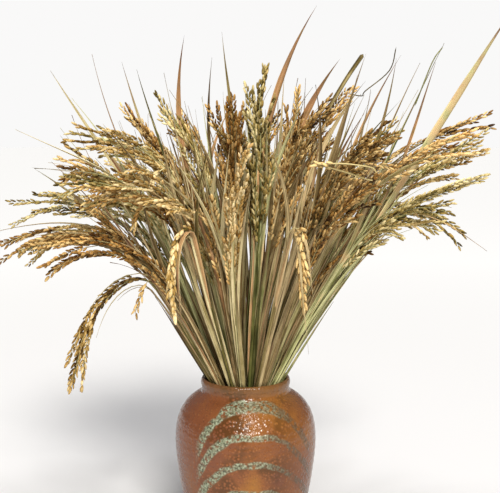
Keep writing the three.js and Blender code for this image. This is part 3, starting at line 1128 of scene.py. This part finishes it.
def brushed_arches(finish, place, aside):
    """How much slip lies on the glaze: arches that waver, and thin and wear away to the right."""
    z = finish.parts(place)[2]
    away = finish.math("ABSOLUTE", aside)
    drop = finish.math("MULTIPLY", finish.math("POWER", away, 3), arch_bend)
    level = finish.varied(finish.math("ADD", z, drop), finish.noise(place, 44, 2), 0.0022)
    slope = finish.math("MULTIPLY", finish.math("POWER", away, 2), 3 * arch_bend)
    steep = finish.math("SQRT", finish.math("ADD", finish.math("POWER", slope, 2), 1))
    thinning = finish.math("MULTIPLY", steep, finish.span(aside, 0, 0.05, 1, 0.65))
    bands = 0
    for top in arch_tops:
        apart = finish.math("ABSOLUTE", finish.math("SUBTRACT", level, top))
        apart = finish.math("DIVIDE", apart, thinning)
        bands = finish.math("ADD", bands, finish.span(apart, *arch_half_width, 1, 0))
    for end, way in zip(arch_ends, (1, -1)):
        bands = finish.math("MULTIPLY", bands, finish.span(aside, end, end + arch_fade * way))
    ragged = finish.span(finish.noise(place, 260, 3), 0.36, 0.5, 0.05, 1)
    worn = finish.span(aside, -0.03, 0.04, 1, 0.6)
    return finish.math("MULTIPLY", finish.math("MULTIPLY", bands, ragged), worn, clamp=True)


def glaze_finish():
    """Rust glaze, glossy over a pebbled body, under arches brushed in grey green slip."""
    finish = Finish("rust_glaze")
    place = finish.node("TexCoord", {}, 3)
    clouds = finish.noise(place, 22, 3)
    pebbles = finish.span(finish.cells(place, 300), 0, 0.6, 1, 0)
    aside = finish.math("SUBTRACT", finish.parts(place)[0], arch_middle)
    bands = brushed_arches(finish, place, aside)
    slip = finish.shades(finish.span(finish.noise(place, 480, 2), 0.34, 0.66), slip_shades)
    slip = finish.mix(finish.span(aside, 0.005, 0.04, 0, 0.85), slip, burnt_slip)
    colour = finish.mix(bands, rust_colour(finish, place, clouds, pebbles), slip)
    finish.feed(finish.shader.inputs["Base Color"], colour)
    relief = finish.math("ADD", pebbles, finish.math("MULTIPLY", bands, 0.6))
    finish.feed(finish.shader.inputs["Normal"], finish.bump(relief, 0.6, 0.0007))
    finish.feed(finish.shader.inputs["Roughness"], finish.span(clouds, 0.3, 0.7, 0.14, 0.26))
    finish.shader.inputs["Specular IOR Level"].default_value = 0.35
    return finish.material


def clay_finish():
    """The bare clay of the foot."""
    finish = Finish("bare_clay")
    place = finish.node("TexCoord", {}, 3)
    grit = finish.noise(place, 700, 4)
    colour = finish.ramp(grit, zip((0.3, 0.7), clay_shades))
    finish.feed(finish.shader.inputs["Base Color"], colour)
    finish.feed(finish.shader.inputs["Normal"], finish.bump(grit, 0.6, 0.0004))
    finish.shader.inputs["Roughness"].default_value = 0.85
    return finish.material


# Stage

def floor_disc():
    """A pale floor with painted shade close to the vase, which grows lighter and glows more away from it,
    into the white of the room.
    """
    bm = bmesh.new()
    bmesh.ops.create_circle(bm, cap_ends=True, segments=96, radius=floor_radius)
    mesh = bpy.data.meshes.new("floor")
    bm.to_mesh(mesh)
    bm.free()
    disc = bpy.data.objects.new("floor", mesh)
    disc.location.z = -floor_drop
    bpy.context.scene.collection.objects.link(disc)
    finish = Finish("pale_floor")
    place = finish.node("TexCoord", {}, 3)
    away = finish.node("VectorMath", {0: place}, 1, operation="LENGTH")
    far = finish.span(away, *floor_fade)
    # Painted shade: the floor is darker close to the vase and lighter away from it.
    finish.feed(finish.shader.inputs["Base Color"], finish.mix(far, floor_near_painted_shade, floor_far))
    finish.shader.inputs["Roughness"].default_value = 0.9
    finish.shader.inputs["Emission Color"].default_value = (0.98, 1, 1.07, 1)
    finish.feed(finish.shader.inputs["Emission Strength"], finish.span(far, 0, 1, *floor_glow))
    mesh.materials.append(finish.material)


def aim(lamp, place):
    """Hangs a lamp at a place, in metres, and turns it to the middle of the bunch."""
    light = bpy.data.objects.new(lamp.name, lamp)
    light.location = place
    light.rotation_euler = (camera_target - Vector(place)).to_track_quat("-Z", "Y").to_euler()
    bpy.context.scene.collection.objects.link(light)


def studio():
    """Wide daylight from the front and a little to the right, a lamp overhead and a white room."""
    daylight = bpy.data.lights.new("daylight", "SUN")
    daylight.energy = daylight_energy
    daylight.angle = radians(daylight_angle)
    daylight.color = (1.0, 0.98, 0.93)
    aim(daylight, daylight_place)

    overhead = bpy.data.lights.new("overhead", "AREA")
    overhead.shape = "DISK"
    overhead.size = overhead_size
    overhead.energy = overhead_energy
    aim(overhead, overhead_place)

    world = bpy.data.worlds.new("pale_room")
    world.use_nodes = True
    nodes = world.node_tree.nodes
    room = nodes["Background"]
    room.inputs["Color"].default_value = (1, 0.995, 0.99, 1)
    seen = nodes.new("ShaderNodeMapRange")
    seen.inputs["To Min"].default_value = room_light
    seen.inputs["To Max"].default_value = room_white
    rays = nodes.new("ShaderNodeLightPath")
    world.node_tree.links.new(rays.outputs["Is Camera Ray"], seen.inputs["Value"])
    world.node_tree.links.new(seen.outputs["Result"], room.inputs["Strength"])
    bpy.context.scene.world = world
    bpy.context.scene.view_settings.view_transform = "Standard"


def photo_camera():
    """The camera of the photograph: a little above the bunch, looking down at it."""
    lens = bpy.data.cameras.new("camera")
    lens.sensor_fit = "HORIZONTAL"
    lens.angle = 2 * atan(half_frame / focal_length)
    camera = bpy.data.objects.new("camera", lens)
    pitch = radians(camera_pitch)
    camera.location = camera_target + Vector((0, -cos(pitch), sin(pitch))) * camera_distance
    camera.rotation_euler = (pi / 2 - pitch, 0, 0)
    bpy.context.scene.collection.objects.link(camera)
    bpy.context.scene.camera = camera


photo_camera()
finishes = {}
for tint in tints:
    look = tint.slot.removeprefix("straw_")
    finishes[tint.slot] = [
        straw_finish(f"{look}_culm", tint.culm, veins=5, withered=0, roughness=0.5),
        straw_finish(f"{look}_leaf", tint.leaf, veins=9, withered=0.85, roughness=0.6),
        husk_finish(f"{look}_husk", tint.husk),
    ]
for stem in grown_stems():
    rice_stem(stem, finishes)
vase_piece(glaze_finish(), clay_finish())
floor_disc()
studio()
